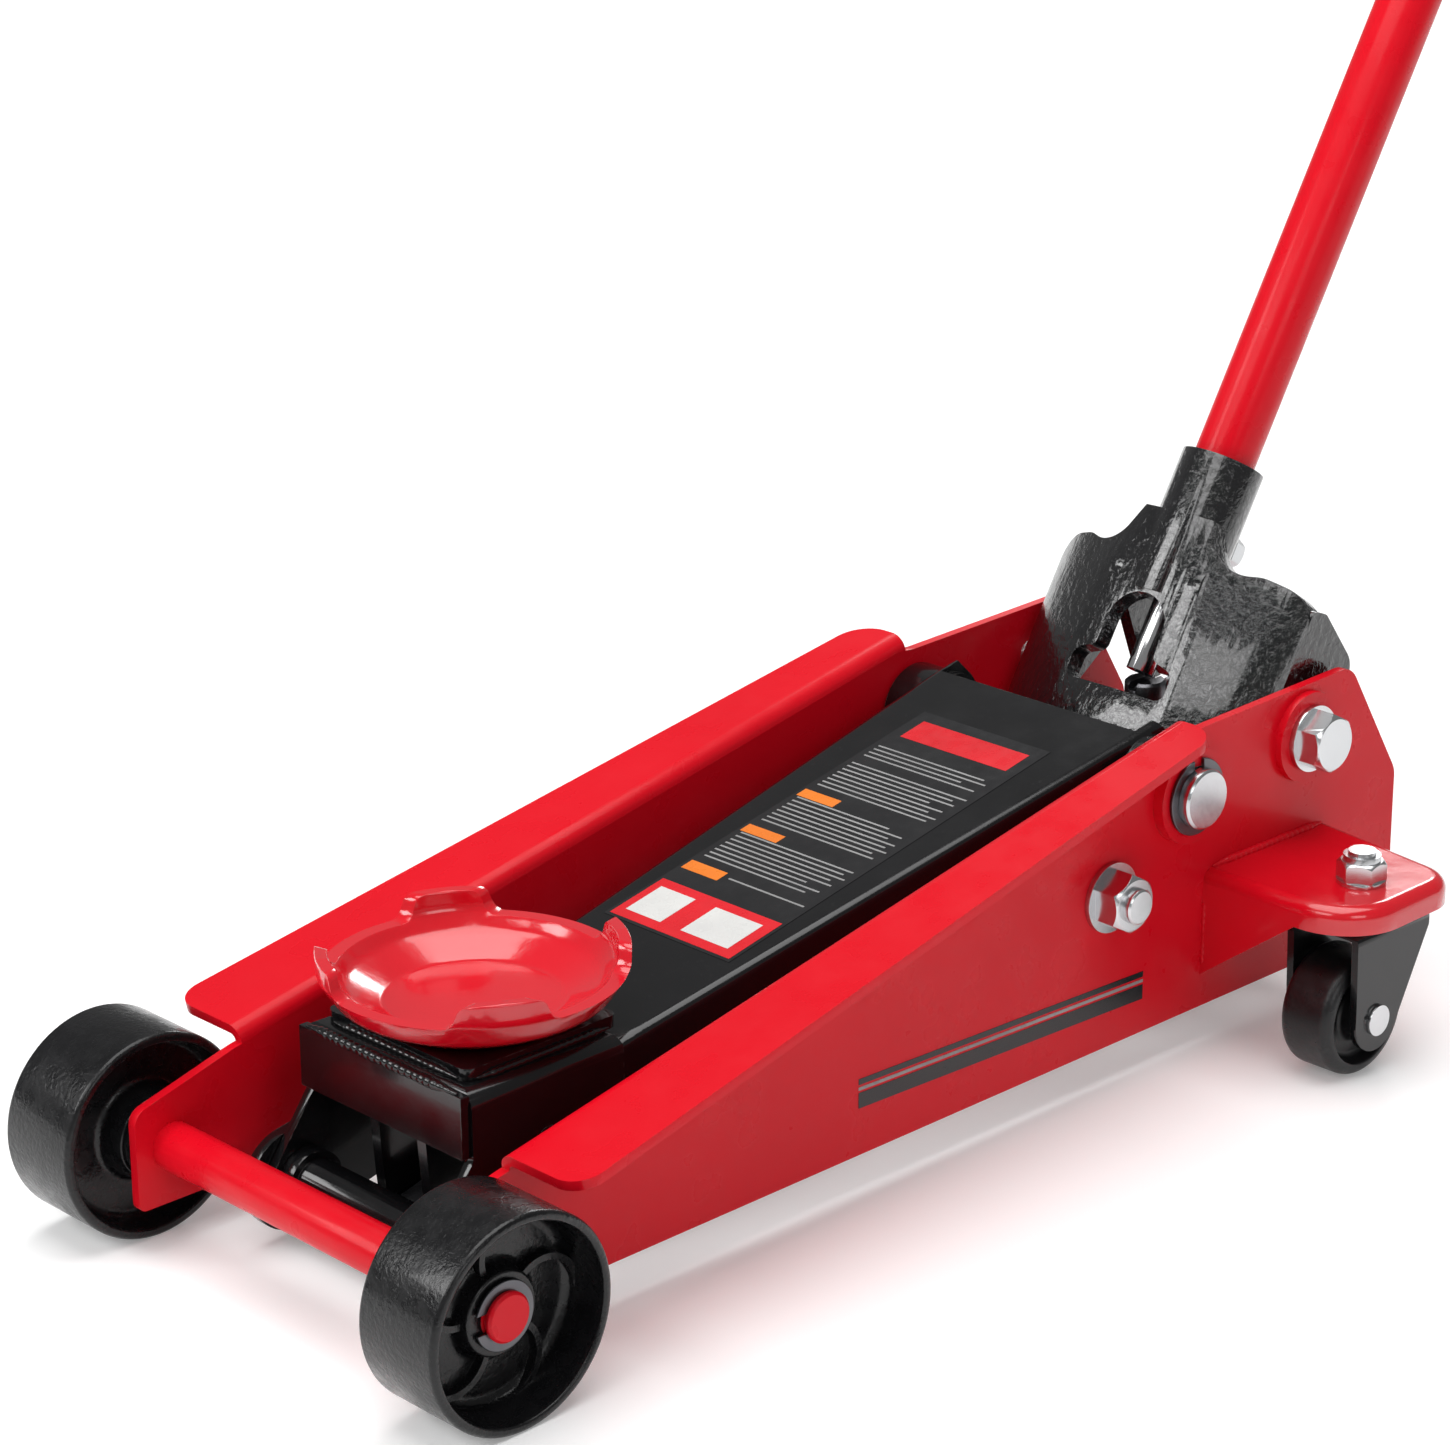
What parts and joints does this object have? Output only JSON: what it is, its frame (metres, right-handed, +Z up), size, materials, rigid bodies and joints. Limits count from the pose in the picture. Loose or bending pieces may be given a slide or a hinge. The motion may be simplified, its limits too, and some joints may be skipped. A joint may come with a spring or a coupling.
{
  "type": "hydraulic trolley jack",
  "caption": "Low wheeled floor jack with a swinging lift arm, level round saddle, pump handle and swivelling rear casters.",
  "frame": {"origin": "on the ground, at the centre of the jack's bounding box with the arm lowered", "axes": "+X towards the saddle end, +Y to the jack's left, +Z up"},
  "size_m": [1.2248, 0.3824, 1.1265],
  "materials": {
    "red_paint": "glossy red enamel over pressed steel",
    "black_paint": "satin black enamel",
    "wheel_iron": "cast iron under thin black paint",
    "dark_iron": "black painted casting",
    "caster_tread": "hard black nylon, scuffed",
    "bright_steel": "zinc plated steel",
    "dark_steel": "oiled dark steel",
    "chrome_rod": "polished chrome",
    "grip_rubber": "ribbed rubber"
  },
  "bodies": {
    "chassis": {"side_plate_left": "red_paint", "side_plate_right": "red_paint", "front_axle": "red_paint", "front_wheel_spacers": "black_paint", "front_wheel_rings": "dark_steel", "caster_wing_left": "red_paint", "caster_wing_right": "red_paint", "caster_bolts": "bright_steel", "caster_bearings": "bright_steel", "rear_cross_plate": "red_paint", "arm_pivot_pins": "dark_steel", "arm_pivot_rings": "dark_steel", "socket_bolts": "bright_steel", "unit_mount_bolts": "dark_steel", "unit_mount_straps": "red_paint", "unit_trunnion": "bright_steel", "pump_block": "dark_iron", "ram_gland_nut": "bright_steel", "filler_plug": "bright_steel", "radius_rod_anchor": "dark_iron", "radius_rod_rear_pin": "dark_steel", "spring_anchor_bar": "dark_steel", "return_springs": "dark_steel", "pump_spring": "dark_steel"},
    "front_wheel_left": {"front_wheel_left": "wheel_iron"},
    "front_wheel_right": {"front_wheel_right": "wheel_iron"},
    "caster_left": {"caster_fork_left": "black_paint", "caster_axle_left": "bright_steel"},
    "caster_right": {"caster_fork_right": "black_paint", "caster_axle_right": "bright_steel"},
    "caster_wheel_left": {"caster_wheel_left": "caster_tread"},
    "caster_wheel_right": {"caster_wheel_right": "caster_tread"},
    "lift_arm": {"lift_arm": "black_paint", "arm_front_bar": "black_paint", "crosshead_pin": "dark_steel", "crosshead_bush": "dark_steel"},
    "head": {"saddle_bracket": "black_paint", "bracket_front_plate": "black_paint", "saddle_base_plate": "black_paint", "bracket_cross_pin": "black_paint", "radius_rod_front_pin": "dark_steel"},
    "saddle": {"saddle": "red_paint", "saddle_retaining_ring": "dark_steel"},
    "radius_rod": {"radius_rod": "dark_iron"},
    "lift_ram": {"lift_ram": "bright_steel"},
    "pump_plunger": {"pump_plunger": "bright_steel"},
    "handle_socket": {"handle_socket": "black_paint", "handle_lock_bolt": "bright_steel", "pump_roller_pin": "bright_steel"},
    "pump_roller": {"pump_roller": "bright_steel"},
    "handle": {"handle_lower": "red_paint", "handle_upper": "red_paint", "handle_grip": "grip_rubber", "release_rod": "chrome_rod"},
    "release_valve": {"release_valve": "dark_steel"}
  },
  "joints": [
    {"name": "front_wheel_left_spin", "type": "hinge", "parent": "chassis", "child": "front_wheel_left", "pos_m": [0.56241, 0.127, 0.05], "axis": [0, 1, 0], "continuous": true},
    {"name": "front_wheel_right_spin", "type": "hinge", "parent": "chassis", "child": "front_wheel_right", "pos_m": [0.56241, -0.127, 0.05], "axis": [0, 1, 0], "continuous": true},
    {"name": "caster_left_swivel", "type": "hinge", "parent": "chassis", "child": "caster_left", "pos_m": [0.01341, 0.161, 0.06], "axis": [0, 0, 1], "continuous": true},
    {"name": "caster_right_swivel", "type": "hinge", "parent": "chassis", "child": "caster_right", "pos_m": [0.01341, -0.161, 0.06], "axis": [0, 0, 1], "continuous": true},
    {"name": "caster_left_spin", "type": "hinge", "parent": "caster_left", "child": "caster_wheel_left", "pos_m": [0.0244, 0.161, 0.032], "axis": [0, 1, 0], "continuous": true},
    {"name": "caster_right_spin", "type": "hinge", "parent": "caster_right", "child": "caster_wheel_right", "pos_m": [0.0244, -0.161, 0.032], "axis": [0, 1, 0], "continuous": true},
    {"name": "lift", "type": "hinge", "parent": "chassis", "child": "lift_arm", "pos_m": [0.0738, 0, 0.1428], "axis": [0, -1, 0], "range_deg": [0, 57.4], "deforming": ["return_springs"]},
    {"name": "head_level", "type": "hinge", "parent": "lift_arm", "child": "head", "pos_m": [0.51704, 0, 0.03147], "axis": [0, -1, 0], "range_deg": [-57.5, 0]},
    {"name": "rod_swing", "type": "hinge", "parent": "chassis", "child": "radius_rod", "pos_m": [0.0468, 0, 0.131], "axis": [0, -1, 0], "range_deg": [0, 57.5]},
    {"name": "ram_stroke", "type": "slide", "parent": "chassis", "child": "lift_ram", "axis": [1, 0, 0], "range_m": [0, 0.0725]},
    {"name": "saddle_turn", "type": "hinge", "parent": "head", "child": "saddle", "pos_m": [0.4572, 0, 0.12], "axis": [0, 0, 1], "continuous": true},
    {"name": "handle_pump", "type": "hinge", "parent": "chassis", "child": "handle_socket", "pos_m": [-0.02039, 0, 0.1494], "axis": [0, 1, 0], "range_deg": [-45, 0], "stiffness_Nm_per_rad": 25, "springref_deg": 57.3},
    {"name": "plunger_stroke", "type": "slide", "parent": "chassis", "child": "pump_plunger", "axis": [0, 0, -1], "range_m": [0, 0.02], "deforming": ["pump_spring"]},
    {"name": "roller_spin", "type": "hinge", "parent": "handle_socket", "child": "pump_roller", "pos_m": [-0.04395, 0, 0.15916], "axis": [0, 1, 0], "continuous": true},
    {"name": "handle_twist", "type": "hinge", "parent": "handle_socket", "child": "handle", "pos_m": [-0.00088, 0, 0.16157], "axis": [-0.529, 0, 0.8486], "range_deg": [0, 180]},
    {"name": "valve_turn", "type": "hinge", "parent": "chassis", "child": "release_valve", "pos_m": [-0.00809, 0, 0.15], "axis": [0, 0, 1], "range_deg": [0, 180.5]}
  ],
  "couplings": [
    {"joint": "head_level", "follows": "lift", "ratio": -1},
    {"joint": "rod_swing", "follows": "lift", "ratio": 1},
    {"joint": "ram_stroke", "follows": "lift", "m_per_rad": 0.0719},
    {"joint": "plunger_stroke", "follows": "handle_pump", "m_per_rad": -0.02485},
    {"joint": "valve_turn", "follows": "handle_twist", "ratio": 1}
  ]
}
